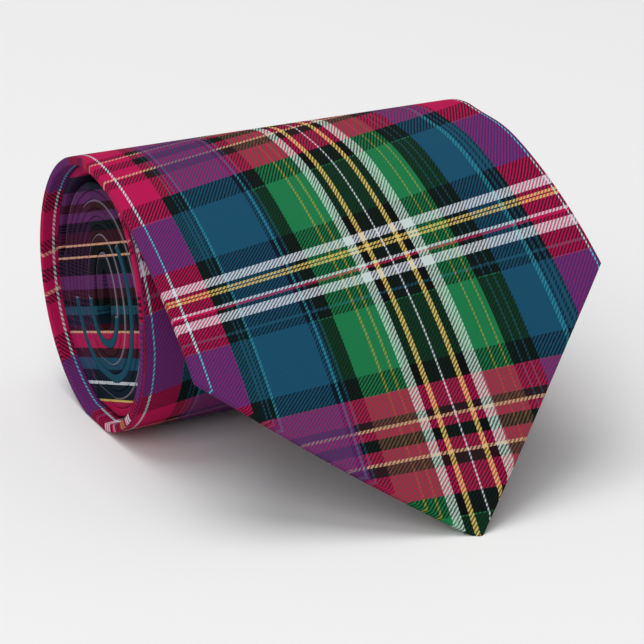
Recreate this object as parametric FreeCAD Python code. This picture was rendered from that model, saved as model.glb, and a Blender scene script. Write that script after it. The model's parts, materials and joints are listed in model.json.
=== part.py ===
"""Necktie, doubled at the neck and rolled from that fold, with the blade laid out in front.

Everything is made from one idea: the tie is a long flat strip.  Its middle surface is a
curve in the YZ plane, from the blade's point, up over the roll, round the spiral, through the
fold at the centre and back out to the tail's point.  Each piece is a small section, drawn
across the strip, that follows a stretch of that curve.  All sizes are in millimetres.
"""
import FreeCAD, Part
import math
import os

# ---- the tie laid flat ------------------------------------------------------------
BLADE_W = 101.6          # width of the blade (the wide end)
NECK_W = 38.0            # width where it goes round the collar
TAIL_W = 50.0            # width of the narrow end
FULL_W_TO = 270.0        # the blade keeps its width this far from the point
NECK_FROM, NECK_TO = 740.0, 960.0
BLADE_SEAM, TAIL_SEAM = 640.0, 1010.0    # where the neck piece is sewn in
SPLICE = 850.0           # where the two lengths of interlining meet
TIE_LENGTH = 1400.0
HEM = 12.0               # cloth turned in along the two sides of each point
SEAM_END = 36.0          # the back seam stops this far above the corner line
LINING_TO = 12.0         # the lining runs this far past the end of the seam

# ---- thicknesses ------------------------------------------------------------------
THICK = 2.0              # the finished strip, lying relaxed
SHELL = 0.4              # printed cloth
LINING = 0.3
PLAY = 0.05              # between the layers of one body
SIDE = 0.7               # folded edge of the shell, measured across
SLIT = 0.3               # half the gap between the two back edges

# ---- the roll ---------------------------------------------------------------------
ROLL_R = 33.5            # outside radius where the blade leaves the roll
PITCH = 2.36             # from one layer to the next
TURNS = 6.25             # turns of the blade before the fold
EYE_DIP = 1.6            # how far the last half turn is pushed into the eye
REST_HALF = 6.0          # half width of the flat that the roll rests on
LIP = 3.5                # how far the outermost turn stands out at the left

# ---- the free blade ---------------------------------------------------------------
REACH = 96.0             # from the roll's centre to the point
TOP_ARM, TIP_ARM = 46.0, 44.0    # handles of the drape curve
TIP_SLOPE = 53.0         # degrees below level at the point
TWIST = 8.0              # degrees the blade has turned on its own length at the corner line
WRAP_TURN = 80.0         # degrees of the outer turn that can be peeled
GAP = 0.3                # clear cut at each joint
BLUNT = 2.4              # the last bit of each point, folded in

# ---- small parts ------------------------------------------------------------------
LOOP_AT, LOOP_W, LOOP_SPAN = 215.0, 14.0, 50.0      # keeper loop
LABEL_AT, LABEL_L, LABEL_W = 285.0, 34.0, 22.0      # blank care label
TACK_L, TACK_W = 1.6, 6.0

STEP = 0.5               # spacing of the samples along the strip


def spiral_radius(turn_deg):
    """Middle of the blade's layer.  The pitch doubles once the tail lies under it."""
    tail = max(0.0, turn_deg - 330) ** 2 / 120 if turn_deg < 390 else turn_deg - 360
    r = ROLL_R - THICK / 2 - PITCH * (turn_deg + tail) / 360
    last = (turn_deg - 360 * TURNS + 180) / 180
    return r - EYE_DIP * max(0.0, last) ** 2


REST_ANGLE = math.degrees(math.asin(REST_HALF / spiral_radius(180)))    # half the flat's
CENTRE_Z = THICK / 2 + spiral_radius(180) * math.cos(math.radians(REST_ANGLE))


def on_roll(r, turn_deg):
    """A point at this radius; turn 0 is the top, 90 the back, 180 the bottom."""
    a = math.radians(turn_deg)
    return r * math.sin(a), CENTRE_Z + r * math.cos(a)


def bezier(p, t):
    k = ((1 - t) ** 3, 3 * t * (1 - t) ** 2, 3 * t * t * (1 - t), t ** 3)
    return tuple(sum(c * q[i] for c, q in zip(k, p)) for i in (0, 1))


def middle_curve():
    """Points along the strip's middle surface, from the blade's point to the tail's."""
    slope = math.radians(TIP_SLOPE)
    top = on_roll(spiral_radius(0), 0)
    tip = (-REACH, THICK / 2 * math.cos(slope) - BLUNT * math.sin(slope))
    drape = [tip, (tip[0] + TIP_ARM * math.cos(slope), tip[1] + TIP_ARM * math.sin(slope)),
             (top[0] - TOP_ARM, top[1]), top]
    pts = [bezier(drape, i / 300) for i in range(300)]
    free = len(pts)
    end = 360 * TURNS
    for i in range(int(end) + 1):
        if i == 180:
            flat = len(pts)
            pts += [(REST_HALF, THICK / 2), (-REST_HALF, THICK / 2)]
        elif abs(i - 180) >= REST_ANGLE + 1.5:
            pts.append(on_roll(spiral_radius(i), i))
    fold = len(pts) - 1
    a = math.radians(end)
    fold_r = spiral_radius(end) - PITCH / 2
    for i in range(1, 18):
        b = math.pi * i / 18
        r = fold_r + PITCH / 2 * math.cos(b)
        ahead = PITCH / 2 * math.sin(b)
        pts.append((r * math.sin(a) + ahead * math.cos(a),
                    CENTRE_Z + r * math.cos(a) - ahead * math.sin(a)))
    for i in range(int(end), 360, -1):
        pts.append(on_roll(spiral_radius(i) - PITCH, i))
    return pts, free, flat, fold


def lengths(pts):
    total = [0.0]
    for a, b in zip(pts, pts[1:]):
        total.append(total[-1] + math.dist(a, b))
    return total


POINTS, FREE_COUNT, FLAT_COUNT, FOLD_COUNT = middle_curve()
ALONG = lengths(POINTS)
FREE = ALONG[FREE_COUNT]                      # length of blade clear of the roll
REST_A, REST_B = ALONG[FLAT_COUNT], ALONG[FLAT_COUNT + 1]     # the flat the roll rests on
FOLD_A, FOLD_B = ALONG[FOLD_COUNT], ALONG[FOLD_COUNT + 18]    # the fold at the centre


def at(s):
    """Position and outward normal of the middle surface, s along from the blade's point."""
    lo, hi = 0, len(ALONG) - 1
    while hi - lo > 1:
        m = (lo + hi) // 2
        lo, hi = (m, hi) if ALONG[m] <= s else (lo, m)
    f = (s - ALONG[lo]) / (ALONG[hi] - ALONG[lo])
    y, z = (POINTS[lo][i] + f * (POINTS[hi][i] - POINTS[lo][i]) for i in (0, 1))
    if REST_A <= s <= REST_B:
        return y, z, 0.0, -1.0
    a, b = POINTS[max(lo - 1, 0)], POINTS[min(hi + 1, len(POINTS) - 1)]
    ty, tz = b[0] - a[0], b[1] - a[1]
    n = math.hypot(ty, tz)
    return y, z, -tz / n, ty / n


def s_of_turn(turn_deg):
    """Distance along the strip to a place on the blade's side of the spiral."""
    target = on_roll(spiral_radius(turn_deg), turn_deg)
    near = range(FREE_COUNT, FREE_COUNT + int(360 * TURNS))
    return ALONG[min(near, key=lambda i: math.dist(POINTS[i], target))]


def blend(a, b, x0, x1, x):
    t = min(1.0, max(0.0, (x - x0) / (x1 - x0)))
    return a + (b - a) * t


def half_width(s):
    end = TIE_LENGTH - s
    if s < BLADE_W / 2:
        return s
    if end < TAIL_W / 2:
        return max(end, 0.0)
    if s < NECK_TO:
        return blend(BLADE_W, NECK_W, FULL_W_TO, NECK_FROM, s) / 2
    return blend(NECK_W, TAIL_W, NECK_TO, TIE_LENGTH - TAIL_W / 2, s) / 2


def centre_x(s):
    """The left edges are rolled level; only the outermost turn stands out by the lip."""
    full = BLADE_W / 2 if s < BLADE_W / 2 else half_width(min(s, TIE_LENGTH - TAIL_W / 2))
    return -BLADE_W / 2 + blend(0.0, LIP, FREE + 150, FREE + 215, s) + full


def twist(s):
    """The blade leaves the roll level and turns on its length, right side up, by the corner."""
    t = min(1.0, max(0.0, (FREE - s) / (FREE - BLADE_W / 2)))
    return math.radians(TWIST) * t * t * (3 - 2 * t)


def place(s, across, out):
    """A point of the tie: across it from its middle, and out from its middle surface."""
    y, z, ny, nz = at(s)
    c, d = math.cos(twist(s)), math.sin(twist(s))
    side, up = across * c - out * d, across * d + out * c
    return FreeCAD.Vector(centre_x(s) + side, y + ny * up, z + nz * up)


def stations(a, b):
    """Even places along a stretch, close enough together for the curve they lie on."""
    radius = max(4.0, abs(math.hypot(at((a + b) / 2)[0], at((a + b) / 2)[1] - CENTRE_Z)))
    n = 10 if a == FOLD_A else max(6, math.ceil((b - a) / (0.17 * radius)))
    return [a + (b - a) * i / n for i in range(n + 1)]


def is_end(face, row):
    """True for the flat face that closes a stretch at this row of section points."""
    return all(min(v.Point.distanceToPoint(p) for p in row) < 1e-4 for v in face.Vertexes)


def follow(section, breaks, flats=()):
    """Solid that carries section(s), a closed list of (across, out), along the strip.

    breaks are the places where the outline turns sharply; a stretch in flats is straight."""
    faces = []
    for a, b in zip(breaks, breaks[1:]):
        straight = (a, b) in flats
        rows = [[place(s, *q) for q in section(s)] for s in ([a, b] if straight else stations(a, b))]
        if straight:
            ring = list(zip(*rows))
            faces += [Part.Face(Part.makePolygon([p, q, v, u, p]))
                      for (p, u), (q, v) in zip(ring, ring[1:] + ring[:1])]
            continue
        loft = Part.makeLoft([Part.makePolygon(r + r[:1]) for r in rows], True)
        for face in loft.Faces:
            start, end = is_end(face, rows[0]), is_end(face, rows[-1])
            if not (start or end) or (start and a == breaks[0]) or (end and b == breaks[-1]):
                faces.append(face)
    shell = Part.makeShell(faces)
    shell.sewShape()
    solid = Part.Solid(shell)
    if solid.Volume < 0:
        solid.reverse()
    return solid


# ---- sections across the strip ----------------------------------------------------
def flap_edge(s):
    """Where the back of the shell ends, from the middle: closed, then opening to the hem."""
    for at_end, w in ((s, BLADE_W), (TIE_LENGTH - s, TAIL_W)):
        corner = w / 2
        if at_end <= corner:
            return max(SLIT, at_end - HEM)
        if at_end < corner + SEAM_END:
            return blend(corner - HEM, SLIT, corner, corner + SEAM_END, at_end)
    return SLIT


def shell_section(s):
    h, f, t = half_width(s), flap_edge(s), THICK / 2
    inner, back = h - SIDE, -t + SHELL
    half = [(h, t), (h, -t), (f, -t), (f, back), (inner, back), (inner, t - SHELL)]
    return half + [(-u, n) for u, n in reversed(half)]


def strip(inset, low, high):
    """A plain layer, this far in from each edge, between two heights in the strip."""
    def section(s):
        h = half_width(s) - inset
        return [(h, high), (h, low), (-h, low), (-h, high)]
    return section


FACE_IN = THICK / 2 - SHELL                     # inside of the face cloth
CORE = strip(SIDE + 0.3, -FACE_IN + PLAY, FACE_IN - PLAY)
THIN_CORE = strip(SIDE + 0.3, -FACE_IN + LINING + 2 * PLAY, FACE_IN - PLAY)
LINER = strip(SIDE + 0.4, -FACE_IN + PLAY, -FACE_IN + PLAY + LINING)


def thread_section(s):
    n = -THICK / 2
    return [(0.15, n + 0.35), (0.15, n + 0.05), (-0.15, n + 0.05), (-0.15, n + 0.35)]


def patch(width, low, high, foot=0.0):
    """Something sewn on the back.  With a foot, only its two ends touch the tie."""
    n, h = -THICK / 2, width / 2
    if foot:
        pts = [(h, n - 0.03), (h, n - high), (-h, n - high), (-h, n - 0.03),
               (-h + foot, n - 0.03), (-h + foot, n - low), (h - foot, n - low), (h - foot, n - 0.03)]
    else:
        pts = [(h, n - low), (h, n - high), (-h, n - high), (-h, n - low)]
    return lambda s: pts


# ---- the places where the bodies and the pieces meet ------------------------------
CORNER = BLADE_W / 2
BAR = CORNER + SEAM_END
WRAP_END = s_of_turn(WRAP_TURN)
TAIL_CORNER = TIE_LENGTH - TAIL_W / 2
TAIL_BAR = TAIL_CORNER - SEAM_END
HALF_GAP = GAP / 2
BEND = 8.0               # stretch in which the round turns into the resting flat


def turns(a, b):
    """Breaks every half turn or so, so that no surface winds round on itself."""
    n = max(1, math.ceil((b - a) / 75))
    return [a + (b - a) * i / n for i in range(n + 1)]


def folded(a, b):
    """turns() for a stretch that goes through the fold at the roll's centre."""
    return chain(turns(a, FOLD_A), [FOLD_A, FOLD_B], turns(FOLD_B, b))


def chain(*runs):
    out = list(runs[0])
    for r in runs[1:]:
        out += list(r)[1:]
    return out


def build():
    rest = (REST_A, REST_B)
    round_in, round_out = REST_A - BEND, REST_B + BEND
    roll_in = chain(turns(WRAP_END + HALF_GAP, round_in), [round_in, *rest, round_out])
    pieces = {
        # the point of the blade
        "blade_shell_tip": (shell_section, [BLUNT, HEM + SLIT, CORNER - HALF_GAP]),
        "blade_interlining_tip": (THIN_CORE, [BLUNT + 1.0, CORNER - HALF_GAP]),
        "blade_lining_tip": (LINER, [BLUNT + 1.2, CORNER - HALF_GAP]),
        # the blade in front of the roll
        "blade_shell_front": (shell_section, [CORNER + HALF_GAP, BAR, FREE - HALF_GAP]),
        "blade_interlining_front": (THIN_CORE, [CORNER + HALF_GAP, FREE - HALF_GAP]),
        "blade_lining_front": (LINER, [CORNER + HALF_GAP, BAR + LINING_TO]),
        "blade_bar_tack": (patch(TACK_W, 0.03, 0.4), [BAR, BAR + TACK_L]),
        "slip_stitch_front": (thread_section, [BAR + TACK_L, FREE - HALF_GAP]),
        # the outer turn over the top of the roll
        "blade_shell_wrap": (shell_section, [FREE + HALF_GAP, WRAP_END - HALF_GAP]),
        "blade_interlining_wrap": (CORE, [FREE + HALF_GAP, WRAP_END - HALF_GAP]),
        "slip_stitch_wrap": (thread_section, [FREE + HALF_GAP, WRAP_END - HALF_GAP]),
        # the roll
        "blade_shell_roll": (shell_section, chain(roll_in, turns(round_out, BLADE_SEAM - 0.1))),
        "neck_shell": (shell_section, folded(BLADE_SEAM + 0.1, TAIL_SEAM - 0.1)),
        "tail_shell": (shell_section, chain(turns(TAIL_SEAM + 0.1, TAIL_BAR),
                                            [TAIL_BAR, TAIL_CORNER, TIE_LENGTH - HEM - SLIT,
                                             TIE_LENGTH - BLUNT])),
        "blade_interlining_roll": (CORE, chain(roll_in, turns(round_out, SPLICE - 0.5))),
        "tail_interlining": (THIN_CORE, chain(folded(SPLICE + 0.5, TAIL_CORNER),
                                              [TAIL_CORNER, TIE_LENGTH - BLUNT - 1.0])),
        "tail_lining": (LINER, [TAIL_BAR - LINING_TO, TAIL_CORNER, TIE_LENGTH - BLUNT - 1.2]),
        "tail_bar_tack": (patch(TACK_W, 0.03, 0.25), [TAIL_BAR - TACK_L, TAIL_BAR]),
        "slip_stitch_roll": (thread_section, chain(roll_in, folded(round_out, TAIL_BAR - TACK_L))),
        "keeper_loop": (patch(LOOP_SPAN, 0.3, 0.75, foot=4.0), [LOOP_AT, LOOP_AT + LOOP_W]),
        "care_label": (patch(LABEL_W, 0.05, 0.3), [LABEL_AT, LABEL_AT + LABEL_L]),
    }
    return {name: follow(section, breaks, flats=(rest,))
            for name, (section, breaks) in pieces.items()}


def main():
    os.makedirs("parts", exist_ok=True)
    solids = build()
    box = FreeCAD.BoundBox()
    for s in solids.values():
        for v in s.tessellate(0.1)[0]:
            box.add(v)
    shift = FreeCAD.Vector(-box.Center.x, -box.Center.y, -box.ZMin)
    for name, solid in solids.items():
        solid.translate(shift)
        solid.exportStep("parts/%s.step" % name)
        print("%-26s valid %s  %.1f mm3" % (name, solid.isValid(), solid.Volume))
    print("size %.1f x %.1f x %.1f" % (box.XLength, box.YLength, box.ZLength))
    print("curve %.1f of %.1f, free %.1f" % (ALONG[-1], TIE_LENGTH, FREE))
    for joint, s in (("tip_flex", CORNER), ("blade_lift", FREE), ("wrap_peel", WRAP_END)):
        p = place(s, 0, THICK / 2) + shift
        axis = place(s, -1, 0) - place(s, 0, 0)
        print("joint %s at %.3f %.3f %.3f axis %.5f %.5f %.5f" % (joint, *p, *axis))
    p = place((REST_A + REST_B) / 2, 0, 0) + shift
    print("rest face at y %.3f, roll centre z %.3f" % (p.y, CENTRE_Z + shift.z))


main()
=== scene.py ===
"""Looks of a necktie that is doubled at the neck, rolled up and laid with its blade in front.

The tie is one long flat strip.  A place on it is given by s, the distance from the blade's
point, by how far it lies across from the middle, and by how far out it lies from the middle
surface.  Every piece is a grid that follows the strip.  Lengths here are in millimetres until
they become vertices.
"""

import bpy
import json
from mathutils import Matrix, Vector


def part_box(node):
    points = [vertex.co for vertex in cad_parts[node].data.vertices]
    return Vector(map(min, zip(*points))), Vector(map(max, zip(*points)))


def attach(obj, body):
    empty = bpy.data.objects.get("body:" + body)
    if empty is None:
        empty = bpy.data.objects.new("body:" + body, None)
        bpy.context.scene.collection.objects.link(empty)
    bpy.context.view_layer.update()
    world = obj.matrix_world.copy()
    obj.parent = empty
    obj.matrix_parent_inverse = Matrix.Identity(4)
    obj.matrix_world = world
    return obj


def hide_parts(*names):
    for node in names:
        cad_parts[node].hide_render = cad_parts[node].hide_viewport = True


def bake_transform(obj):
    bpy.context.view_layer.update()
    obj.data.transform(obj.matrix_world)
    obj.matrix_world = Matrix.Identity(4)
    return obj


bl_info = {
    "name": "Rolled necktie",
    "version": (1, 0, 0),
    "blender": (4, 5, 0),
    "location": "3D View > Sidebar > Necktie",
    "description": "Builds a rolled plaid necktie and the studio it lies in",
    "category": "Add Mesh",
}

import json
import math

import bpy
import numpy as np
from mathutils import Quaternion, Vector

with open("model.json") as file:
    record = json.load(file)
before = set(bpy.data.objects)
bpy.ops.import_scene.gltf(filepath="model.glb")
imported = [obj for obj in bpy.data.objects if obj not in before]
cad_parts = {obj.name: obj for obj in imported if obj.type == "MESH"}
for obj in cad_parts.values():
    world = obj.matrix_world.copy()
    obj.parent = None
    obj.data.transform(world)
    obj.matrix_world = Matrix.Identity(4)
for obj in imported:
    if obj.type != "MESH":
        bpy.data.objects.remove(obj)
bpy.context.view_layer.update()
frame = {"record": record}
MM = 0.001
UV_SPAN = 100.0                          # millimetres of cloth to one unit of a UV map

# ---- the tie laid flat, as the frame has it ----------------------------------------
NECK_W, TAIL_W = 38.0, 50.0
FULL_W_TO, NECK_FROM, NECK_TO = 270.0, 740.0, 960.0
BLADE_SEAM, TAIL_SEAM, SPLICE = 640.0, 1010.0, 850.0
HEM, SEAM_END, LINING_TO = 12.0, 36.0, 12.0
CLOTH = 0.4                              # thickness of the printed cloth
SLIT = 0.3                               # half the gap between the two back edges
FOLD, FOLD_EDGE = 0.9, 0.38              # depth of the folded side, and how square it is
THIN_FROM, THIN_OVER, THINNEST = 0.5, 2.2, 0.02    # how the strip thins out at its points
TACK, TACK_WIDTH, THREAD = 1.6, 6.0, 0.15     # bar tacks, and the radius of the thread
INSET = 1.4                              # the inner layers stop this far from the folds
WOOL, SATIN = (-0.22, 0.5), (-0.52, -0.26)    # the two faces of each inner layer

# ---- the roll ------------------------------------------------------------------------
EYE_DIP = 1.6                            # how far the last half turn is pushed into the eye
LIP, LIP_FROM, LIP_TO = 3.5, 150.0, 215.0     # how far the outermost turn stands out
UNDER_FROM, UNDER_TO = 330.0, 390.0      # the tail comes under the blade in these degrees
OVAL_R = 31.0                            # inside this radius the turns stand up as ovals
TALLER, NARROWER, LEAN = 0.15, 0.10, 0.16
REST_COS = 0.9815                        # cosine of half the angle of the flat it rests on

# ---- how the blade hangs in front of the roll --------------------------------------
CORNER_DROP = 72.6                       # from the top of the roll down to the corner line
POINT_PULL = 0.5                         # how much longer the pressed point is
SLOPE_AT = (0, 15, 30, 45, 60, 80, 105, 140)
LEFT_SLOPE = (0, 12.2, 23.3, 33.5, 40.8, 51.7, 59.2, 65.2)
RIGHT_SLOPE = (0, -3.0, 10.0, 22.8, 34.5, 45.4, 51.0, 57.0)
SWAY_AT = (0, 40, 80, 130)
LEFT_SWAY, RIGHT_SWAY = (0, -1.2, -0.8, 0.8), (0, -4.6, -2.9, 1.2)
LEFT_BOW, RIGHT_BOW = 1.3, -0.6          # how the two sides of the point curve

# ---- how the print has drifted on the cloth ----------------------------------------
ROW_AT = (-165, -12, 0, 12, 24, 44, 60, 83, 95, 104, 124)
ROW_TILT = (-0.2, -0.35, -0.33, -0.28, -0.2, -0.06, 0.0, 0.06, 0.09, 0.125, 0.13)
PRINT_AT = (-181, -11.3, 0.8, 24.3, 43.1, 50, 60.5, 67.2, 83, 95.2, 103.8, 123.4)
PRINT_ROW = (248.7, 116.8, 109.4, 95.9, 80.8, 73.8, 62.9, 56.0, 40.6, 27.5, 19.8, 0.0)
BACK_SHIFT = 49.0                        # the rows on the back of the rolled part

# ---- the edges that show in the roll's ends ------------------------------------------
INSIDE_TURN = 352                        # degrees of turn where the edges begin to show
EDGE_PRINT = 4.2                         # how far in from the edge their own print goes
END_TILT = 0.35                          # rise of its rows towards the front
END_MIDDLE, END_HEIGHT = 50.0, 70.0      # where the roll's centre lies in it, and its height
HIGHLIGHTED_TURNS = ((2.1, 3.1), (4.4, 6.2))      # turns whose folded edges get a painted highlight along their outer crease
TEAL = ((3.3, 3.9), (5.3, 5.7))          # turns that are teal
TEAL_MARK = 3.0                          # value of the fold attribute that says teal

# ---- the plaid -----------------------------------------------------------------------
DYES = {
    "blue": "#184c66", "green": "#1d7446", "crimson": "#b3164f", "navy": "#0d1a2a",
    "spruce": "#0d1f17", "black": "#0a0c0e", "wine": "#38101f", "teal": "#1c495b",
    "plum": "#7a2a62", "indigo": "#402668", "night": "#0a0e18", "moss": "#8c913c",
    # the pale grey at the end of the next line is not a dye of the cloth: it is a painted highlight
    # for the creases of the folds in the roll's ends
    "brick": "#6e2430", "crease_highlight": "#9a8f9c",
    "cyan": "#2b8294", "ice": "#c9dfe6", "sky": "#56c4d6", "white": "#cdd2da",
    "mint": "#b9d2c4", "yellow": "#dcc06a", "peach": "#d9a284", "purple": "#5b2a5e",
}
# lengthwise stripes: the dye and where it starts, from the blade's left edge
WARP_LEFT = (
    ("crimson", 0.0), ("ice", 2.5), ("crimson", 3.1), ("spruce", 10.3),
    ("teal", 12.6), ("spruce", 13.0), ("teal", 13.7), ("spruce", 14.1), ("cyan", 15.0),
    ("blue", 15.7), ("navy", 29.0), ("cyan", 29.9), ("navy", 30.6), ("teal", 31.6),
    ("spruce", 32.1), ("green", 35.3), ("moss", 40.8), ("green", 41.3), ("moss", 43.4),
    ("green", 43.9), ("mint", 45.7), ("black", 47.9), ("yellow", 49.7),
)
WARP_RIGHT = (
    ("yellow", 0.0), ("spruce", 50.8), ("white", 53.9), ("spruce", 54.5), ("yellow", 57.7),
    ("black", 58.8), ("mint", 60.9), ("green", 63.4), ("moss", 66.8), ("green", 67.3),
    ("moss", 69.6), ("green", 70.1), ("spruce", 71.3), ("teal", 73.0), ("spruce", 73.5),
    ("teal", 75.1), ("spruce", 75.6), ("blue", 77.4), ("cyan", 85.5), ("navy", 86.5),
    ("teal", 87.5), ("navy", 88.1), ("teal", 89.2), ("spruce", 89.8), ("crimson", 90.8),
    ("ice", 100.2), ("crimson", 100.8),
)
WARP_HALF, WARP_ALL = 51.0, 102.0        # lengths of the two colour ramps above
# the two margins where they cross the wide blue rows
MARGIN = (("plum", 0.0), ("sky", 2.5), ("plum", 3.1), ("spruce", 10.3), ("plum", 90.8),
          ("sky", 100.2), ("plum", 100.8))
# crosswise stripes of one repeat, up from the point
REPEAT = 90.2
WEFT = (
    ("field", 0.0), ("dark", 5.7), ("crimson", 10.9), ("wine", 17.0), ("peach", 19.4),
    ("crimson", 20.4), ("dark", 22.7), ("crimson", 25.2), ("peach", 26.8), ("wine", 27.8),
    ("crimson", 29.4), ("dark", 35.5), ("field", 40.6), ("dark", 55.8), ("teal", 58.0),
    ("dark", 58.5), ("white", 61.8), ("black", 64.2), ("crimson", 65.2), ("white", 66.2),
    ("dark", 66.7), ("yellow", 69.8), ("wine", 70.6), ("yellow", 70.9), ("black", 71.7),
    ("white", 72.8), ("dark", 75.2), ("field", 80.8),
)
# groups of lengthwise stripes that take other dyes in some rows
MARGINS = ((-1.0, 10.3), (90.8, 200.0))
GREEN_PART = ((31.2, 77.4),)
BLUES = ((14.1, 31.2), (77.4, 89.2))
GREENS = ((35.3, 45.7), (63.4, 71.3))
DARKS = ((31.2, 35.3), (46.9, 62.0), (71.3, 77.4))
WIDE_ROWS = ((-1.0, 5.7), (40.6, 55.8), (80.8, 91.0))
RED_ROWS = ((10.9, 35.5),)
# crosswise stripes on the folded ends of the roll, up from the table
END_WEFT = (
    ("crimson", 0.0), ("yellow", 4.8), ("navy", 5.4), ("white", 9.2), ("navy", 10.1),
    ("blue", 13.0), ("wine", 16.0), ("crimson", 18.5), ("peach", 22.3), ("wine", 22.8),
    ("navy", 24.5), ("teal", 27.0), ("black", 29.0), ("wine", 31.0), ("purple", 33.5),
    ("night", 37.0), ("peach", 41.3), ("black", 41.9), ("peach", 44.3), ("wine", 44.9),
    ("night", 48.0), ("purple", 50.5), ("wine", 53.0), ("purple", 55.0), ("navy", 58.0),
    ("crimson", 62.0),
)


def between(knots, values, x):
    """A smooth curve through a few values."""
    k, y = np.array(knots, float), np.array(values, float)
    m = np.gradient(y, k)
    x = np.clip(x, k[0], k[-1])
    i = np.clip(np.searchsorted(k, x, side="right") - 1, 0, len(k) - 2)
    h = k[i + 1] - k[i]
    t = (x - k[i]) / h
    return ((2 * t**3 - 3 * t**2 + 1) * y[i] + (t**3 - 2 * t**2 + t) * h * m[i]
            + (3 * t**2 - 2 * t**3) * y[i + 1] + (t**3 - t**2) * h * m[i + 1])


def ease(t):
    t = np.clip(t, 0, 1)
    return t * t * (3 - 2 * t)


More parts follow.
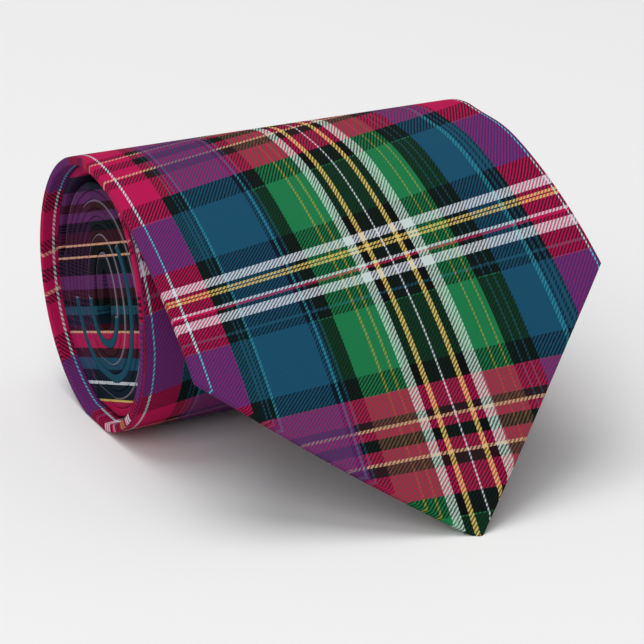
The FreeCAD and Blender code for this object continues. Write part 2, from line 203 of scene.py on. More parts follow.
class Strip:
    """Where every place on the tie lies once it is rolled."""

    def __init__(self, p):
        self.w, self.t = p.blade_width / MM, p.thickness / MM / 2
        self.radius, self.pitch, self.turns = p.roll_radius / MM, p.layer_pitch / MM, p.turns
        rest = next(m for m in frame["record"]["mounts"] if m["name"] == "table_rest")
        self.cy = rest["pos_m"][1] / MM
        self.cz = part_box("blade_shell_wrap")[1].z / MM - self.radius
        self.corner = self.w / 2
        self.bar = self.corner + SEAM_END
        self.free = CORNER_DROP + self.corner
        self.length = p.length / MM
        self.drop = np.arange(0, self.free + 3, 0.5)
        self.left = self.hang(LEFT_SLOPE, LEFT_SWAY, -self.w / 2)
        self.right = self.hang(RIGHT_SLOPE, RIGHT_SWAY, self.w / 2)
        self.wind()

    def hang(self, slopes, sway, x):
        """One side edge of the free blade, from the top of the roll down."""
        a = np.radians(between(SLOPE_AT, slopes, self.drop))
        mid = (a[1:] + a[:-1]) / 2
        y = self.cy - np.concatenate([[0], np.cumsum(np.cos(mid)) * 0.5])
        z = self.cz + self.radius - np.concatenate([[0], np.cumsum(np.sin(mid)) * 0.5])
        return np.stack([x + between(SWAY_AT, sway, self.drop), y, z], 1)

    def layer(self, turn):
        """Middle of the blade's layer in the roll; the pitch doubles once the tail is under it."""
        easing = np.maximum(0, turn - UNDER_FROM) ** 2 / (2 * (UNDER_TO - UNDER_FROM))
        tail = np.where(turn < UNDER_TO, easing, turn - 360)
        last = np.maximum(0, (turn - 360 * self.turns + 180) / 180)
        return self.radius - self.t - self.pitch * (turn + tail) / 360 - EYE_DIP * last**2

    def settle(self, y, z):
        """The inside of the roll relaxes into an upright oval, and the underside lies flat."""
        r = np.hypot(y, z)
        slack = np.clip((OVAL_R - r) / OVAL_R, 0, 1)
        tall = z * (1 + TALLER * OVAL_R * slack / np.maximum(r, 2))
        narrow = y * (1 - NARROWER * slack - LEAN * slack * z / np.maximum(r, 1))
        return narrow, np.maximum(tall, -REST_COS * np.hypot(y, tall))

    def wind(self):
        """The strip's middle surface round the roll, through the fold and back out."""
        end = 360 * self.turns
        turn = np.arange(0, end + 1)
        a, r = np.radians(turn), self.layer(turn)
        y, z = list(r * np.sin(a)), list(r * np.cos(a))
        b = np.radians(np.arange(10, 180, 10))
        fold_r = self.layer(end) - self.pitch / 2 + self.pitch / 2 * np.cos(b)
        ahead, e = self.pitch / 2 * np.sin(b), np.radians(end)
        y += list(fold_r * np.sin(e) + ahead * np.cos(e))
        z += list(fold_r * np.cos(e) - ahead * np.sin(e))
        back = np.arange(end, 360, -1)
        r = self.layer(back) - self.pitch
        y += list(r * np.sin(np.radians(back)))
        z += list(r * np.cos(np.radians(back)))
        plain = np.concatenate([[0], np.cumsum(np.hypot(np.diff(y), np.diff(z)))])
        self.along = self.free + plain
        self.turn_at = self.free + plain[: len(turn)]
        y, z = self.settle(np.array(y), np.array(z))
        self.y, self.z = y + self.cy, z + self.cz
        ty, tz = np.gradient(self.y, self.along), np.gradient(self.z, self.along)
        n = np.hypot(ty, tz)
        self.ny, self.nz = -tz / n, ty / n

    def s_of_turn(self, turn):
        return float(self.turn_at[int(turn)])

    def half_width(self, s):
        end = self.length - s
        taper = lambda a, b, x0, x1: a + (b - a) * np.clip((s - x0) / (x1 - x0), 0, 1)
        body = np.where(s < NECK_TO, taper(self.w, NECK_W, FULL_W_TO, NECK_FROM),
                        taper(NECK_W, TAIL_W, NECK_TO, self.length - TAIL_W / 2)) / 2
        return np.minimum(np.minimum(body, s), np.maximum(end, 0))

    def flap_edge(self, s):
        """Where the back of the shell ends, out from the middle."""
        f = np.full(np.shape(s), SLIT)
        for at_end, w in ((s, self.w), (self.length - s, TAIL_W)):
            corner = w / 2
            closed = np.clip((at_end - corner) / SEAM_END, 0, 1)
            open_part = SLIT + (corner - HEM - SLIT) * (1 - closed)
            f = np.where(at_end < corner + SEAM_END, open_part, f)
            f = np.where(at_end <= corner, np.maximum(SLIT, at_end - HEM), f)
        return f

    def centre_x(self, s):
        end = self.length - TAIL_W / 2
        full = np.where(s < self.w / 2, self.w / 2, self.half_width(np.clip(s, self.w / 2, end)))
        lip = LIP * np.clip((s - self.free - LIP_FROM) / (LIP_TO - LIP_FROM), 0, 1)
        return -self.w / 2 + lip + full

    def place(self, s, across, out):
        """Positions and outward normals, in millimetres."""
        s, across, out = np.broadcast_arrays(*(np.asarray(v, float) for v in (s, across, out)))
        pull = POINT_PULL * np.clip(1 - s / self.corner, 0, 1)
        d = np.clip(self.free - s + pull, 0, self.drop[-1])
        edge = lambda e, q: np.stack([np.interp(q, self.drop, e[:, i]) for i in range(3)], -1)
        u = (across / self.w + 0.5)[..., None]
        low, high = np.maximum(d - 0.6, 0), np.minimum(d + 0.6, self.drop[-1])
        hung = edge(self.left, d) * (1 - u) + edge(self.right, d) * u
        down = ((edge(self.left, high) - edge(self.left, low)) * (1 - u)
                + (edge(self.right, high) - edge(self.right, low)) * u)
        side = edge(self.right, d) - edge(self.left, d)
        n = np.cross(down, side)
        n /= np.maximum(np.linalg.norm(n, axis=-1), 1e-9)[..., None]
        hung = hung + n * (out - self.t)[..., None]
        ny, nz = np.interp(s, self.along, self.ny), np.interp(s, self.along, self.nz)
        y, z = np.interp(s, self.along, self.y), np.interp(s, self.along, self.z)
        rolled = np.stack([self.centre_x(s) + across, y + ny * out, z + nz * out], -1)
        m = np.stack([np.zeros_like(ny), ny, nz], -1)
        free = (s < self.free)[..., None]
        mixed = ease((s - self.free + 6) / 12)[..., None]
        normal = np.where(free, n, m)
        normal = np.where(abs(mixed - 0.5) < 0.5, n * (1 - mixed) + m * mixed, normal)
        normal /= np.maximum(np.linalg.norm(normal, axis=-1), 1e-9)[..., None]
        found = np.where(free, hung, rolled)
        found[..., 2] = np.maximum(found[..., 2], 0.05)
        return found, normal

    def point(self, s, across=0.0, out=0.0):
        return Vector(self.place(s, across, out)[0]) * MM

    def row(self, s, across):
        """Which row of the print lies here, up from the blade's point."""
        d = self.free - s
        d = d - np.interp(d, ROW_AT, ROW_TILT) * across
        beyond = np.minimum(d - PRINT_AT[0], 0)
        return np.interp(d, PRINT_AT, PRINT_ROW) - beyond

    def thinning(self, s):
        """How thick the strip is here, as a share of its full thickness."""
        left = np.minimum(s, self.length - s)
        return np.sqrt(np.clip((left - THIN_FROM) / THIN_OVER, THINNEST, 1))

    def shell_columns(self, s, fine):
        """The shell's section, from one back edge round the front to the other.

        Each column is (across, out, across and out of the inner face, distance from the fold,
        side); side is 0 at the back, 2 at the front and the angle of the fold in between.
        """
        h, f = self.half_width(s), self.flap_edge(s)
        t = self.t * self.thinning(s)
        e = np.minimum(FOLD, 0.6 * h)
        cols = []
        back = np.linspace(0, 1, 5 if fine else 3)
        front = np.linspace(-1, 1, 33 if fine else 13)
        angles = np.radians(np.linspace(-90, 90, 9))[1:-1]
        f = np.minimum(f, h - e - 0.05)
        for k in back:
            x = f + (h - e - f) * k
            cols.append((-x, -t, -x, -t + CLOTH * t / self.t, h - x, 0))
        for a in angles:
            c, o = math.cos(a) ** FOLD_EDGE, math.copysign(abs(math.sin(a)) ** FOLD_EDGE, a)
            cols.append((-(h - e + e * c), t * o, -(h - e + (e - CLOTH * e) * c),
                         (t - CLOTH * t / self.t) * o, 0 * h, a))
        for k in front:
            x = (h - e) * k
            cols.append((x, t, x, t - CLOTH * t / self.t, None, 2))
        right = [(-a, o, -ia, io, p, g) for a, o, ia, io, p, g in cols[: len(back) + len(angles)]]
        return cols + right[::-1]


def smooth_unit(v):
    return v / np.maximum(np.linalg.norm(v, axis=-1), 1e-9)[..., None]


def mesh_from(name, verts, faces, corner_normals, prints, ends, flags):
    """A mesh that carries its place in the print and in the end print, and two flags: the painted
    highlight and teal mark on the folds, and whether the end print shows.
    """
    me = bpy.data.meshes.new(name)
    me.from_pydata((verts * MM).tolist(), [], faces.tolist())
    loops = faces.reshape(-1)
    for label, values in (("Print", prints), ("End", ends)):
        place = (values[loops] / UV_SPAN).astype(np.float32).reshape(-1)
        me.uv_layers.new(name=label).data.foreach_set("uv", place)
    for label, values in zip(("fold", "end"), flags):
        made = me.attributes.new(label, "FLOAT", "POINT")
        made.data.foreach_set("value", values.astype(np.float32))
    me.polygons.foreach_set("use_smooth", [True] * len(faces))
    me.normals_split_custom_set(corner_normals.reshape(-1, 3).tolist())
    ob = bpy.data.objects.new(name, me)
    bpy.context.scene.collection.objects.link(ob)
    return ob


def grid_faces(rows, cols, base=0, closed=False):
    i, j = np.meshgrid(np.arange(rows - 1), np.arange(cols if closed else cols - 1), indexing="ij")
    k = (j + 1) % cols
    quad = np.stack([i * cols + j, i * cols + k, (i + 1) * cols + k, (i + 1) * cols + j], -1)
    return quad.reshape(-1, 4) + base


def face_normals(verts, faces):
    p = verts[faces]
    n = smooth_unit(np.cross(p[:, 2] - p[:, 0], p[:, 3] - p[:, 1]))
    return np.repeat(n[:, None], 4, 1)


def shell(name, strip, s, fine=True, end_from=None):
    """The printed cloth: one sheet folded round the strip, its two edges meeting at the back."""
    s = np.asarray(s, float)
    cols = strip.shell_columns(s, fine)
    n, m = len(s), len(cols)
    h = strip.half_width(s)
    bow = np.sin(np.pi * np.clip(s / strip.corner, 0, 1))
    grids = {}
    for label, ia, io in (("outer", 0, 1), ("inner", 2, 3)):
        across = np.stack([np.broadcast_to(c[ia], n) for c in cols], 1)
        out = np.stack([np.broadcast_to(c[io], n) for c in cols], 1)
        share = across / np.maximum(h, 0.5)[:, None]
        across = across + bow[:, None] * np.where(share > 0, RIGHT_BOW * share, LEFT_BOW * share)
        out = out + (strip.t * (1 - strip.thinning(s)))[:, None]
        grids[label] = strip.place(s[:, None], across, out)[0], across, out
    P, across, out = grids["outer"]
    Q = grids["inner"][0]
    # outward normals from the grid itself, and from the strip on the front
    tu = np.gradient(P, axis=1)
    tv = np.gradient(P, axis=0)
    N = smooth_unit(np.cross(tu, tv))
    face = strip.place(s[:, None], across, out)[1]
    side = np.array([c[5] for c in cols])
    front = side == 2
    N[:, front] = face[:, front]
    half = m // 2
    unfolded = np.where(front[None], across, 0.0)
    printed = unfolded + strip.w / 2
    for j in range(m):
        if not front[j]:
            from_fold = np.broadcast_to(cols[j][4] if cols[j][4] is not None else 0, n)
            sign = -1 if j < half else 1
            unfolded[:, j] = sign * (h + from_fold)
            printed[:, j] = strip.w / 2 + sign * (h - from_fold)
    rows = strip.row(s[:, None], unfolded)
    rows[:, ~front] -= (BACK_SHIFT * ease((s - strip.free) / 4))[:, None]
    turned = np.zeros((n, m))
    is_fold = ~front & (side != 0)
    if end_from is not None:
        edge = is_fold[None] | (abs(across) > h[:, None] - EDGE_PRINT)
        turned = (s >= end_from)[:, None] * edge * 1.0
    verts = np.concatenate([P.reshape(-1, 3), Q.reshape(-1, 3)])
    outer = grid_faces(n, m)
    inner = grid_faces(n, m, n * m)[:, ::-1]
    i = np.arange(n - 1)
    first = np.stack([i * m, (i + 1) * m, (i + 1) * m + n * m, i * m + n * m], -1)
    last = np.stack([i * m + m - 1, i * m + m - 1 + n * m,
                     (i + 1) * m + m - 1 + n * m, (i + 1) * m + m - 1], -1)
    j = np.arange(m - 1)
    low = np.stack([j, j + n * m, j + 1 + n * m, j + 1], -1)
    end = (n - 1) * m + j
    high = np.stack([end, end + 1, end + 1 + n * m, end + n * m], -1)
    faces = np.concatenate([outer, inner, first, last, low, high])
    normals = np.concatenate([N.reshape(-1, 3), -N.reshape(-1, 3)])
    corner = normals[faces]
    flat = len(outer) + len(inner)
    corner[flat:] = face_normals(verts, faces[flat:])
    prints = np.stack([abs(printed), rows], -1).reshape(-1, 2)
    ends = np.stack([P[..., 1] - strip.cy + END_MIDDLE, P[..., 2]], -1).reshape(-1, 2)
    turns = np.interp(s, strip.turn_at, np.arange(len(strip.turn_at))) / 360
    # which turns get a painted highlight on their folds, and which turns have teal edges
    highlighted, teal = (sum((turns > a) & (turns < b) for a, b in part) > 0 for part in (HIGHLIGHTED_TURNS, TEAL))
    # painted highlight: its strength grows with how far out on the fold a column lies; teal turns
    # carry TEAL_MARK in the same attribute instead
    highlight_and_teal = np.where(is_fold[None] & highlighted[:, None], out / strip.t, 0.0)
    highlight_and_teal = np.where(teal[:, None], TEAL_MARK, highlight_and_teal)
    two = lambda a: np.concatenate([a, a])
    flags = two(highlight_and_teal.reshape(-1)), two(turned.reshape(-1))
    return mesh_from(name, verts, faces, corner, two(prints), two(ends), flags)


def slab(name, strip, s, inset, low, high, width=None, columns=9):
    """A plain layer inside the shell, or a patch of its own width on the back."""
    s = np.asarray(s, float)
    h = strip.half_width(s) - inset if width is None else np.full(len(s), width / 2)
    h = np.maximum(h, 0.2)
    k = np.linspace(-1, 1, columns)
    ring = [(x, high) for x in k] + [(x, low) for x in k[::-1]]
    across = np.stack([h * x for x, _ in ring], 1)
    out = np.broadcast_to(np.array([o for _, o in ring]), across.shape)
    P = strip.place(s[:, None], across, out)[0]
    n, m = across.shape
    verts = P.reshape(-1, 3)
    faces = grid_faces(n, m, closed=True)
    c = columns
    j = np.arange(c - 1)
    cap = np.stack([j, 2 * c - 1 - j, 2 * c - 2 - j, j + 1], -1)
    faces = np.concatenate([faces, cap, cap[:, ::-1] + (n - 1) * m])
    prints = np.stack([across + 50, s[:, None] + 0 * across], -1).reshape(-1, 2)
    zero = np.zeros(len(verts))
    return mesh_from(name, verts, faces, face_normals(verts, faces), prints, prints, (zero, zero))


def thread(name, strip, path, radius):
    """A sewing thread through points given as (s, across, out)."""
    pts = np.array([strip.place(*q)[0] for q in path])
    t = smooth_unit(np.gradient(pts, axis=0))
    a = smooth_unit(np.cross(t, np.array([0.3, 0.5, 0.81])))
    b = np.cross(t, a)
    k = 6
    ang = np.linspace(0, 2 * np.pi, k, endpoint=False)
    c, d = np.cos(ang)[None, :, None], np.sin(ang)[None, :, None]
    ring = pts[:, None] + radius * (c * a[:, None] + d * b[:, None])
    verts = ring.reshape(-1, 3)
    faces = grid_faces(len(pts), k, closed=True)[:, ::-1]
    n = len(pts)
    caps = np.array([[0, 1, 2, 3], [0, 3, 4, 5]])
    faces = np.concatenate([faces, caps, caps[:, ::-1] + (n - 1) * k])
    out = smooth_unit(verts - np.repeat(pts, k, 0))
    uv = np.stack([np.tile(ang, n), np.repeat(np.arange(n), k) * 0.5], -1)
    zero = np.zeros(len(verts))
    return mesh_from(name, verts, faces, out[faces], uv, uv, (zero, zero))


def steps(a, b, gap):
    return np.linspace(a, b, max(4, int(math.ceil((b - a) / gap)) + 1))


# ---- finishes ------------------------------------------------------------------------
def dye(code):
    c = [int(code[i: i + 2], 16) / 255 for i in (1, 3, 5)]
    return tuple(v / 12.92 if v <= 0.04045 else ((v + 0.055) / 1.055) ** 2.4 for v in c) + (1.0,)


class Wire:
    """A shader value that can be written in sums."""
    tree = None

    def __init__(self, socket):
        self.socket = socket

    @classmethod
    def node(cls, kind, settings=(), inputs=()):
        """Any node: its type, its settings, then its inputs."""
        n = cls.tree.nodes.new(kind)
        for key, value in dict(settings).items():
            setattr(n, key, value)
        for key, value in dict(inputs).items():
            if isinstance(value, Wire):
                cls.tree.links.new(value.socket, n.inputs[key])
            else:
                n.inputs[key].default_value = value
        return n

    @classmethod
    def sum(cls, operation, *values):
        n = cls.node("ShaderNodeMath", {"operation": operation}, enumerate(values))
        return cls(n.outputs[0])

    def __add__(self, o): return Wire.sum("ADD", self, o)
    def __radd__(self, o): return Wire.sum("ADD", o, self)
    def __sub__(self, o): return Wire.sum("SUBTRACT", self, o)
    def __rsub__(self, o): return Wire.sum("SUBTRACT", o, self)
    def __mul__(self, o): return Wire.sum("MULTIPLY", self, o)
    def __rmul__(self, o): return Wire.sum("MULTIPLY", o, self)
    def __truediv__(self, o): return Wire.sum("DIVIDE", self, o)
    def __rtruediv__(self, o): return Wire.sum("DIVIDE", o, self)
    def __gt__(self, o): return Wire.sum("GREATER_THAN", self, o)
    def __lt__(self, o): return Wire.sum("LESS_THAN", self, o)
    def fract(self): return Wire.sum("FRACT", self)

    def among(self, spans):
        """1 where this lies in one of the spans, else 0."""
        total = None
        for low, high in spans:
            one = (self > low) * (self < high)
            total = one if total is None else total + one
        return total

    def paint(self, a, b):
        """Colour a where this is 0 and b where it is 1."""
        n = Wire.node("ShaderNodeMix", {"data_type": "RGBA"}, {0: self, 6: a, 7: b})
        return Wire(n.outputs[2])

    def stripes(self, total, bands, named):
        """Hard stripes along this distance; bands give a dye and where it starts."""
        n = Wire.node("ShaderNodeValToRGB", inputs={0: self / total})
        ramp = n.color_ramp
        ramp.interpolation = "CONSTANT"
        for k, (name, start) in enumerate(bands):
            stop = ramp.elements[k] if k < 2 else ramp.elements.new(start / total)
            stop.position, stop.color = start / total, dye(named[name])
        return Wire(n.outputs[0])


def uv_map(label):
    return Wire(Wire.node("ShaderNodeUVMap", {"uv_map": label}).outputs[0])


def uv(label):
    """The two distances of this UV map, in millimetres."""
    n = Wire.node("ShaderNodeSeparateXYZ", inputs={0: uv_map(label)})
    return Wire(n.outputs[0]) * UV_SPAN, Wire(n.outputs[1]) * UV_SPAN


def attribute(label):
    return Wire(Wire.node("ShaderNodeAttribute", {"attribute_name": label}).outputs["Fac"])


def material(name, build, **constants):
    """A new material; build gives the colour and height of the surface, or plain values."""
    m = bpy.data.materials.new(name)
    m.use_nodes = True
    Wire.tree = m.node_tree
    bsdf = m.node_tree.nodes["Principled BSDF"]
    for key, value in constants.items():
        bsdf.inputs[key.replace("_", " ").title().replace("Ior", "IOR")].default_value = value
    colour, height, deep = build()
    if isinstance(colour, Wire):
        m.node_tree.links.new(colour.socket, bsdf.inputs["Base Color"])
    else:
        bsdf.inputs["Base Color"].default_value = colour
    if height is not None:
        sizes = {"Strength": 0.6, "Distance": deep, "Height": height}
        bump = Wire.node("ShaderNodeBump", inputs=sizes)
        m.node_tree.links.new(bump.outputs[0], bsdf.inputs["Normal"])
    return m


def plaid(twill_pitch):
    """The printed twill, the level rows that its edges show in the roll's ends, and a painted
    highlight on the creases of some of their folds.
    """
    def build():
        outer = dict(DYES, field=DYES["blue"], dark=DYES["night"])
        inner = dict(DYES, field=DYES["green"], dark=DYES["black"])
        shade = lambda name: dye(DYES[name])
        x, v = uv("Print")
        row = (v / REPEAT).fract() * REPEAT
        warp = (x > 50.6).paint(x.stripes(WARP_HALF, WARP_LEFT, DYES),
                                x.stripes(WARP_ALL, WARP_RIGHT, DYES))
        weft = x.among(GREEN_PART).paint(row.stripes(REPEAT, WEFT, outer),
                                         row.stripes(REPEAT, WEFT, inner))
        wide, red = row.among(WIDE_ROWS), row.among(RED_ROWS)
        margins, blues, greens = x.among(MARGINS), x.among(BLUES), x.among(GREENS)
        warp = (wide * margins).paint(warp, x.stripes(WARP_ALL, MARGIN, DYES))
        weft = (wide * margins).paint(weft, shade("indigo"))
        weft = (wide * x.among(DARKS) * 0.8).paint(weft, shade("black"))
        warp = (red * blues * 0.6).paint(warp, shade("indigo"))
        weft = (red * blues * 0.65).paint(weft, shade("plum"))
        warp = (red * greens * 0.7).paint(warp, shade("brick"))
        noise = Wire.node("ShaderNodeTexNoise", inputs={"Vector": uv_map("Print"), "Scale": 160.0})
        worn = Wire(noise.outputs[0])
        over = ((x - v) / twill_pitch + worn * 0.45).fract() > 0.5
        cloth = (over * 0.70 + 0.15).paint(warp, weft)
        # the edges in the roll's ends
        ey, ez = uv("End")
        end_weft = (ez + (ey - END_MIDDLE) * END_TILT).stripes(END_HEIGHT, END_WEFT, DYES)
        end_warp = (ey > END_MIDDLE + 7.0).paint(shade("spruce"), shade("purple"))
        end_over = ((ey * 0.6 - ez) / twill_pitch + worn * 0.3).fract() > 0.3
        end = (end_over * 0.6 + 0.4).paint(end_warp, end_weft)
        # the fold attribute carries the painted highlight's strength and the teal mark; where it
        # passes 0.6, on the outer part of a fold in the highlighted turns, the colour is mixed
        # halfway to pale grey as a painted highlight
        fold = attribute("fold")
        end = ((fold > 0.6) * 0.5).paint(end, shade("crease_highlight"))
        end = (fold > TEAL_MARK / 2).paint(end, shade("teal"))
        colour = (attribute("end") > 0.5).paint(cloth, end)
        return colour, ((x - v) / twill_pitch * 2).fract(), 0.00012
    return build


def satin():
    x, v = uv("Print")
    return dye("#141c26"), ((x + v) / 0.5).fract(), 0.00002


def wool():
    place = Wire(Wire.node("ShaderNodeTexCoord").outputs["Object"])
    n = Wire.node("ShaderNodeTexNoise", inputs={"Vector": place, "Scale": 2500.0})
    return dye("#dcd8cc"), Wire(n.outputs[0]), 0.0003


def cord():
    x, v = uv("Print")
    return dye("#2b5a68"), ((x / 2 + v) / 0.6).fract(), 0.00004


def label_cloth():
    x, v = uv("Print")
    return dye("#e6e6e0"), (v / 0.4).fract(), 0.00003


# ---- settings ------------------------------------------------------------------------
class NecktieSettings(bpy.types.PropertyGroup):
    """Sizes of the tie."""
    length: bpy.props.FloatProperty(
        name="Length", description="Tie laid flat, point to point",
        default=1.4, unit="LENGTH")
    blade_width: bpy.props.FloatProperty(
        name="Blade width", description="Width of the wide end",
        default=0.1016, unit="LENGTH")
    thickness: bpy.props.FloatProperty(
        name="Thickness", description="Finished strip",
        default=0.002, unit="LENGTH")
    roll_radius: bpy.props.FloatProperty(
        name="Roll radius", description="Outside of the roll",
        default=0.0335, unit="LENGTH")
    layer_pitch: bpy.props.FloatProperty(
        name="Layer pitch", description="From one layer to the next",
        default=0.00236, unit="LENGTH")
    turns: bpy.props.FloatProperty(
        name="Turns", description="Turns of the blade before the fold",
        default=6.25)
    wrap_turn: bpy.props.FloatProperty(
        name="Peeled turn", description="Degrees of the outer turn that can be peeled",
        default=80.0)
    twill: bpy.props.FloatProperty(
        name="Twill pitch", description="Repeat of the diagonal in millimetres",
        default=0.98)
    stitch: bpy.props.FloatProperty(
        name="Stitch", description="Length of one slip stitch in millimetres",
        default=7.0)


class NecktieStage(bpy.types.PropertyGroup):
    """The studio round the tie."""
    camera_at: bpy.props.FloatVectorProperty(
        name="Camera", description="Where the camera stands",
        default=(-0.2568, -0.5081, 0.2501), size=3, unit="LENGTH")
    look_at: bpy.props.FloatVectorProperty(
        name="Look at", description="The point it faces",
        default=(-0.0504, -0.0906, 0.0681), size=3, unit="LENGTH")
    lens: bpy.props.FloatProperty(
        name="Lens", description="Focal length in millimetres",
        default=146.6)
    roll: bpy.props.FloatProperty(
        name="Roll", description="Turn of the camera about its line of sight",
        default=0.0072, unit="ROTATION")
    fill: bpy.props.FloatProperty(
        name="Fill", description="Strength of the room light",
        default=0.42)
    key: bpy.props.FloatProperty(
        name="Key", description="Power of the overhead light in watts",
        default=24.0)


FINISH = {}


def finishes(p):
    if not FINISH:
        FINISH["tartan_twill"] = material("Plaid twill", plaid(p.twill), roughness=0.9,
                                          specular_ior_level=0.06)
        FINISH["lining_satin"] = material("Lining satin", satin, roughness=0.35)
        FINISH["interlining_wool"] = material("Interlining wool", wool, roughness=0.95)
        FINISH["sewing_thread"] = material("Sewing thread", cord, roughness=0.5)
        FINISH["label_satin"] = material("Label satin", label_cloth, roughness=0.4)
    return FINISH


LEAST_SHEET = 0.0101                     # the narrowest sheet, in metres
# the bodies listed for each piece, which follows its body only when it has one, and two distances
# along the strip that dress reads without effect
ROLL, PEEL = ("roll",), ("roll", "outer_wrap")
LIFT, TIP = ("outer_wrap", "front_blade"), ("front_blade", "blade_tip")
BEND, LIFT_AHEAD = 11.0, -10.0


def dress(ob, p, slot, node, bodies, s=None):
    """Gives a piece its finish and hides its CAD piece; a piece with one body is attached to that
    body, and any other piece has its transform baked in where it lies.
    """
    strip = Strip(p)
    ob.data.materials.append(finishes(p)[slot])
    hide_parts(node)
    if len(bodies) == 1:
        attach(ob, bodies[0])
    else:
        strip.point(s + BEND)
        strip.point(s - BEND)
        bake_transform(ob)
    return ob


def cut(ob, strip, s0, s1, rests, sides=2, held="folded"):
    """Works out how large this piece of cloth is before it is folded round the strip, but keeps
    none of it.
    """
    s = np.linspace(s0, s1, 400)
    wide = 2 * sides * strip.half_width(s) - (2 * strip.flap_edge(s) if sides == 2 else 0)
    area = float(np.sum((wide[1:] + wide[:-1]) / 2) * (s[1] - s[0])) * MM * MM
    flat = (max(LEAST_SHEET, float(wide.max()) * MM), max(LEAST_SHEET, (s1 - s0) * MM))
    share = area / (flat[0] * flat[1])
    area if share < 0.999 else None


def places(p):
    """The strip, the cuts between pieces and where the peeled turn ends."""
    strip = Strip(p)
    wrap = strip.s_of_turn(p.wrap_turn)
    return strip, (strip.corner + strip.free) / 2, strip.free + 22.0, wrap, wrap + 24.0


class PieceOperator(bpy.types.Operator):
    """Makes one group of pieces"""
    bl_options = {"REGISTER", "UNDO"}

    def execute(self, context):
        self.build(context.scene.necktie)
        return {"FINISHED"}


class NECKTIE_OT_shell(PieceOperator):
    """Folds the printed cloth round the strip, from the blade's point to the tail's"""
    bl_idname = "necktie.shell"
    bl_label = "Printed shell"

    def build(self, p):
        strip, low, high, wrap, rolled = places(p)
        near = np.concatenate([[0.35, 0.7, 1.0, 1.5, 2.2, 3.2, 4.5], steps(6, strip.corner, 1.2),
                               steps(strip.corner, low, 1.2)[1:]])
        inside = strip.s_of_turn(INSIDE_TURN)
        stop = min(strip.length, strip.along[-1]) - 0.8
        even = lambda a, b: steps(a, b, 1.0)
        seamed = lambda a, b: even(a + 0.1, b - 0.1)
        on_roll = ["blade_roll_shell"]
        for name, s, drawn, flat, node, bodies, at, rests in (
                ("blade_point_shell", near, {}, (float(near[0]), low), "blade_shell_tip", TIP,
                 strip.corner, ["floor"]),
                ("blade_front_shell", even(low, high), {}, (low, high), "blade_shell_front",
                 LIFT, strip.free + LIFT_AHEAD, on_roll),
                ("blade_wrap_shell", even(high, rolled), {}, (high, rolled), "blade_shell_wrap",
                 PEEL, wrap, on_roll),
                ("blade_roll_shell", even(rolled, BLADE_SEAM - 0.1), {"end_from": inside},
                 (rolled, BLADE_SEAM), "blade_shell_roll", ROLL, None, ["floor"]),
                ("neck_fold_shell", seamed(BLADE_SEAM, TAIL_SEAM), {"fine": False, "end_from": 0},
                 (BLADE_SEAM, TAIL_SEAM), "neck_shell", ROLL, None, on_roll),
                ("tail_end_shell", even(TAIL_SEAM + 0.1, stop), {"fine": False, "end_from": 0},
                 (TAIL_SEAM, stop), "tail_shell", ROLL, None, on_roll)):
            ob = dress(shell(name, strip, s, **drawn), p, "tartan_twill", node, bodies, at)
            cut(ob, strip, *flat, rests)


class NECKTIE_OT_interlining(PieceOperator):
    """Lays the wool interlining inside the shell"""
    bl_idname = "necktie.interlining"
    bl_label = "Interlining"

    def build(self, p):
        strip, low, high, wrap, rolled = places(p)
        for name, s0, s1, node, bodies, at in (
                ("point_interlining", 4.0, low, "blade_interlining_tip", TIP, strip.corner),
                ("front_interlining", low, high, "blade_interlining_front", LIFT,
                 strip.free + LIFT_AHEAD),
                ("wrap_interlining", high, rolled, "blade_interlining_wrap", PEEL, wrap),
                ("roll_interlining", rolled, SPLICE - 0.5, "blade_interlining_roll", ROLL, None),
                ("tail_end_interlining", SPLICE + 0.5, strip.length - 4.0, "tail_interlining",
                 ROLL, None)):
            ob = slab(name, strip, steps(s0, s1, 2.0), INSET, *WOOL)
            dress(ob, p, "interlining_wool", node, bodies, at)
            cut(ob, strip, s0, s1, ["blade_roll_shell"], sides=1, held="laid")


class NECKTIE_OT_lining(PieceOperator):
    """Sets the satin lining behind both points"""
    bl_idname = "necktie.lining"
    bl_label = "Point linings"

    def build(self, p):
        strip, low, high, wrap, rolled = places(p)
        for name, s0, s1, node, bodies, at in (
                ("point_lining", 3.5, low, "blade_lining_tip", TIP, strip.corner),
                ("front_lining", low, strip.bar + LINING_TO, "blade_lining_front",
                 ("front_blade",), None),
                ("tail_end_lining", strip.length - TAIL_W / 2 - SEAM_END - LINING_TO,
                 strip.length - 3.5, "tail_lining", ROLL, None)):
            ob = slab(name, strip, steps(s0, s1, 1.5), INSET, *SATIN)
            dress(ob, p, "lining_satin", node, bodies, at)
            cut(ob, strip, s0, s1, ["blade_point_shell"], sides=1, held="stretched")


class NECKTIE_OT_sewing(PieceOperator):
    """Sews the back seam with slip stitches and closes it with a bar tack at each end"""
    bl_idname = "necktie.sewing"
    bl_label = "Back seam"

    def build(self, p):
        strip, low, high, wrap, rolled = places(p)
        back = -strip.t - 0.02
        tail = strip.length - TAIL_W / 2 - SEAM_END

        def seam(s0, s1):
            path = []
            for k, s in enumerate(np.arange(s0, s1, p.stitch)):
                turn = 1 if k % 2 else -1
                path += [(s, 0.45 * turn, back), (min(s + p.stitch / 2, s1), 0.0, back + 0.1)]
            return path

        def tack(s0):
            half = TACK_WIDTH / 2
            return [(s0 + 0.1 * k, half if k % 2 else -half, back - 0.12) for k in range(17)]
        for name, path, node, bodies, at in (
                ("front_slip_stitches", seam(strip.bar + TACK, high), "slip_stitch_front", LIFT,
                 strip.free + LIFT_AHEAD),
                ("wrap_slip_stitches", seam(high, rolled), "slip_stitch_wrap", PEEL, wrap),
                ("roll_slip_stitches", seam(rolled, tail), "slip_stitch_roll", ROLL, None),
                ("blade_tack_stitches", tack(strip.bar), "blade_bar_tack", ("front_blade",), None),
                ("tail_tack_stitches", tack(tail - TACK), "tail_bar_tack", ROLL, None)):
            dress(thread(name, strip, path, THREAD), p, "sewing_thread", node, bodies, at)


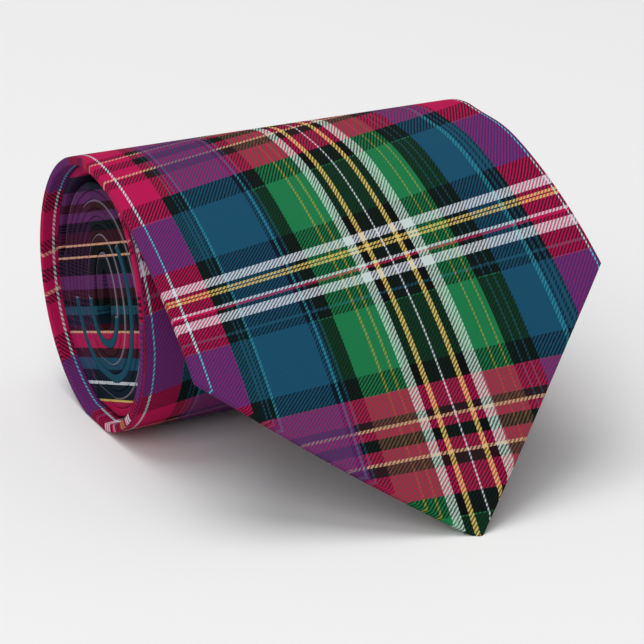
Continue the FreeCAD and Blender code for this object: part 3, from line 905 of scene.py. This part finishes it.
class NECKTIE_OT_back(PieceOperator):
    """Adds the keeper loop and the blank care label on the back of the blade"""
    bl_idname = "necktie.back"
    bl_label = "Keeper loop and label"

    def build(self, p):
        strip = Strip(p)
        t = strip.t
        for name, (s0, s1), wide, deep, columns, slot, node, held in (
                ("keeper_band", (215, 229), 50, 0.5, 21, "tartan_twill", "keeper_loop",
                 "stretched"),
                ("blank_label", (285, 319), 22, 0.25, 9, "label_satin", "care_label", "laid")):
            ob = slab(name, strip, steps(s0, s1, 1.0), 0, -t - deep, -t - 0.04, wide, columns)
            dress(ob, p, slot, node, ROLL)


class NECKTIE_OT_stage(bpy.types.Operator):
    """Sets the floor, the lights and the camera"""
    bl_idname = "necktie.stage"
    bl_label = "Studio"

    def execute(self, context):
        p = context.scene.necktie_stage
        bpy.ops.object.select_all(action="DESELECT")
        bpy.ops.mesh.primitive_plane_add(size=8.0, location=(0, 0, 0))
        floor = context.object
        floor.name = "floor"
        pale = material("Pale floor", lambda: (dye("#f2f2f2"), None, 0), roughness=0.9)
        floor.data.materials.append(pale)
        world = context.scene.world or bpy.data.worlds.new("Room")
        context.scene.world = world
        world.use_nodes = True
        back = world.node_tree.nodes["Background"]
        back.inputs[0].default_value = (1, 1, 1, 1)
        back.inputs[1].default_value = p.fill
        for name, at, size, power in (("Key", (-0.35, 0.30, 2.2), 1.4, p.key),
                                      ("Front", (-1.3, -1.5, 1.9), 1.8, p.key * 0.84)):
            bpy.ops.object.light_add(type="AREA", location=at)
            lamp = context.object
            lamp.name = name
            lamp.data.size, lamp.data.energy = size, power
            lamp.rotation_mode = "QUATERNION"
            lamp.rotation_quaternion = Vector(at).to_track_quat("Z", "Y")
        bpy.ops.object.camera_add(location=p.camera_at)
        camera = context.object
        camera.name = "Camera"
        camera.data.lens, camera.data.sensor_width = p.lens, 36
        camera.data.clip_start, camera.data.clip_end = 0.01, 20
        camera.rotation_mode = "QUATERNION"
        away = Vector(p.camera_at) - Vector(p.look_at)
        camera.rotation_quaternion = away.to_track_quat("Z", "Y") @ Quaternion((0, 0, 1), -p.roll)
        context.scene.camera = camera
        context.scene.view_settings.view_transform = "Standard"
        return {"FINISHED"}


class NECKTIE_PT_panel(bpy.types.Panel):
    """Settings and one button for each group of pieces"""
    bl_label = "Rolled necktie"
    bl_space_type = "VIEW_3D"
    bl_region_type = "UI"
    bl_category = "Necktie"

    def draw(self, context):
        for group in (context.scene.necktie, context.scene.necktie_stage):
            for name in group.__annotations__:
                self.layout.prop(group, name)
        for op in OPERATORS:
            self.layout.operator(op.bl_idname)


OPERATORS = (NECKTIE_OT_shell, NECKTIE_OT_interlining, NECKTIE_OT_lining, NECKTIE_OT_sewing,
             NECKTIE_OT_back, NECKTIE_OT_stage)
CLASSES = (NecktieSettings, NecktieStage, *OPERATORS, NECKTIE_PT_panel)


def register():
    for c in CLASSES:
        bpy.utils.register_class(c)
    bpy.types.Scene.necktie = bpy.props.PointerProperty(type=NecktieSettings)
    bpy.types.Scene.necktie_stage = bpy.props.PointerProperty(type=NecktieStage)


def unregister():
    del bpy.types.Scene.necktie_stage
    del bpy.types.Scene.necktie
    for c in reversed(CLASSES):
        bpy.utils.unregister_class(c)


def main():
    register()
    for op in OPERATORS:
        if getattr(bpy.ops.necktie, op.bl_idname.split(".")[1])() != {"FINISHED"}:
            raise RuntimeError(op.bl_label + " was not built")


if __name__ == "__main__":
    main()
